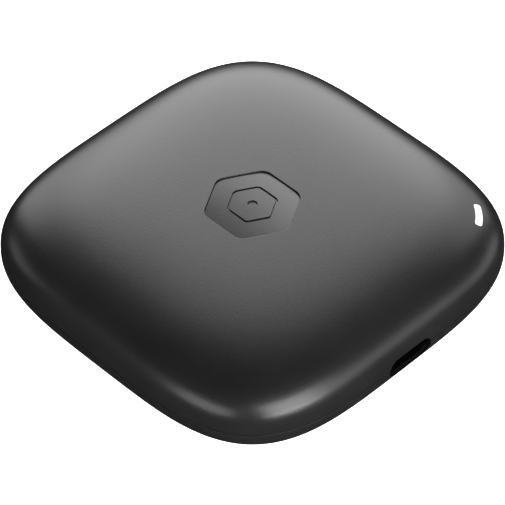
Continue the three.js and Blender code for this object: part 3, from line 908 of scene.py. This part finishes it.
def paint_port_shade(cover, material):
    """Paints shade on the walls of the port's opening in a cover: their faces take a near-black material
    of their own.
    """
    cover.data.materials.append(material)
    radius = PORT_HEIGHT / 2 + PORT_ROUND / 2
    reach = (PORT_WIDTH - PORT_HEIGHT) / 2
    # faces on the walls of the port's opening take the second material, the painted shade
    for face in cover.data.polygons:
        x, y, z = face.center / MM
        off = max(abs(y - PORT_Y) - reach, 0)
        inside = math.hypot(off, z - PORT_Z) < radius
        if inside and USB_BACK < x < wall_x(y, z) - PORT_ROUND / 2:
            face.material_index = 1


def install(piece):
    """The piece rides on the one body."""
    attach(piece, "root")


FINE_PIECES = {
    "top_cover": top_cover,
    "bottom_cover": bottom_cover,
    "emblem_plate": emblem_plate,
    "light_pipe": light_pipe,
    "foot_pad": foot_pad,
    "usb_c_shell": usb_shell,
}

materials = {make.__name__: make() for make in FINISHES}
slots = {entry["node"]: entry["material_slot"] for entry in frame["record"]["subparts"]}

for node, make in FINE_PIECES.items():
    piece = make()
    smooth(piece)
    wear(piece, materials[slots[node]])
    # painted shade on the walls of the port's opening in both covers
    if node in ("top_cover", "bottom_cover"):
        paint_port_shade(piece, materials["opening"])
    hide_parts(node)
    install(piece)

contacts = usb_contacts()
wear(contacts, materials["gold"])
install(contacts)

for node, cad_object in frame["nodes"].items():
    if node not in FINE_PIECES:
        wear(cad_object, materials[slots[node]])

# ---- studio ---------------------------------------------------------------------------------

VIEW_AZIMUTH = 45  # degrees
VIEW_ELEVATION = 45.6
VIEW_DISTANCE = 440.2  # millimetres, from the middle of the housing
AIM_DROP = 1.42  # millimetres below the middle of the housing that the camera aims
MIDDLE_Z = 8.45  # height of that middle in millimetres
LENS = 214.9
CLIP_START = 0.01  # metres

FLOOR_RADIUS = 1.5  # metres
FLOOR_SIDES = 96
FLOOR_GREY = 0.8
FLOOR_ROUGHNESS = 0.9
FLOOR_GLOW = 2.1  # strength of its own light

# Soft boxes: azimuth and elevation in degrees, width and height in metres, power in watts.
SOFT_BOXES = (
    ("back_right_box", 210, 30, 1.0, 0.7, 4.5),
    ("back_left_box", 235, 25, 1.0, 0.6, 5.2),
    ("back_high_box", 225, 52, 0.5, 0.3, 0.5),
    ("right_low_box", 80, 14, 0.6, 0.2, 5.0),
    ("right_high_box", 80, 36, 0.6, 0.4, 6.1),
    ("right_side_box", 115, 18, 0.4, 0.4, 0.8),
    ("right_edge_box", 150, 8, 0.6, 0.35, 1.0),
    ("left_edge_box", 300, 14, 0.5, 0.3, 0.5),
    ("left_box", 5, 18, 0.6, 0.45, 2.9),
)
BOX_DISTANCE = 0.9  # metres from the object


def direction(azimuth, elevation):
    """Towards a place seen from the object: azimuth 0 is -Y and 90 is +X."""
    a, e = math.radians(azimuth), math.radians(elevation)
    return Vector((math.sin(a) * math.cos(e), -math.cos(a) * math.cos(e), math.sin(e)))


def aim(thing, target):
    """Turns a camera or lamp towards a point."""
    thing.rotation_euler = (target - thing.location).to_track_quat("-Z", "Y").to_euler()


def add_camera():
    """The camera, which sees the housing a little above the middle of the view."""
    data = bpy.data.cameras.new("camera")
    data.lens = LENS
    data.clip_start = CLIP_START
    camera = bpy.data.objects.new("camera", data)
    bpy.context.scene.collection.objects.link(camera)
    back = direction(VIEW_AZIMUTH, VIEW_ELEVATION)
    up = back.cross(direction(VIEW_AZIMUTH + 90, 0))
    middle = Vector((0, 0, MIDDLE_Z)) * MM
    camera.location = middle + back * VIEW_DISTANCE * MM
    aim(camera, middle - up * AIM_DROP * MM)
    bpy.context.scene.camera = camera


def add_floor():
    """A pale floor with a glow of its own, which the object's gloss doesn't mirror."""
    surface = bmesh.new()
    bmesh.ops.create_circle(surface, cap_ends=True, radius=FLOOR_RADIUS, segments=FLOOR_SIDES)
    floor = new_piece("floor", surface)
    material = bpy.data.materials.new("floor")
    material.use_nodes = True
    shader = material.node_tree.nodes["Principled BSDF"]
    shader.inputs["Base Color"].default_value = opaque(grey(FLOOR_GREY))
    shader.inputs["Roughness"].default_value = FLOOR_ROUGHNESS
    shader.inputs["Specular IOR Level"].default_value = 0.0
    shader.inputs["Emission Color"].default_value = opaque(grey(1))
    shader.inputs["Emission Strength"].default_value = FLOOR_GLOW
    wear(floor, material)
    floor.visible_glossy = False


def add_soft_box(name, azimuth, elevation, width, height, power):
    """A rectangular lamp that faces the object."""
    data = bpy.data.lights.new(name, "AREA")
    data.shape = "RECTANGLE"
    data.size = width
    data.size_y = height
    data.energy = power
    lamp = bpy.data.objects.new(name, data)
    bpy.context.scene.collection.objects.link(lamp)
    lamp.location = direction(azimuth, elevation) * BOX_DISTANCE
    aim(lamp, Vector())


def add_dark_world():
    """A world with no light of its own: the floor and the soft boxes give it all."""
    world = bpy.data.worlds.new("studio")
    world.use_nodes = True
    world.node_tree.nodes["Background"].inputs["Strength"].default_value = 0.0
    bpy.context.scene.world = world


add_camera()
add_floor()
add_dark_world()
for box in SOFT_BOXES:
    add_soft_box(*box)
bpy.context.scene.view_settings.view_transform = "Standard"
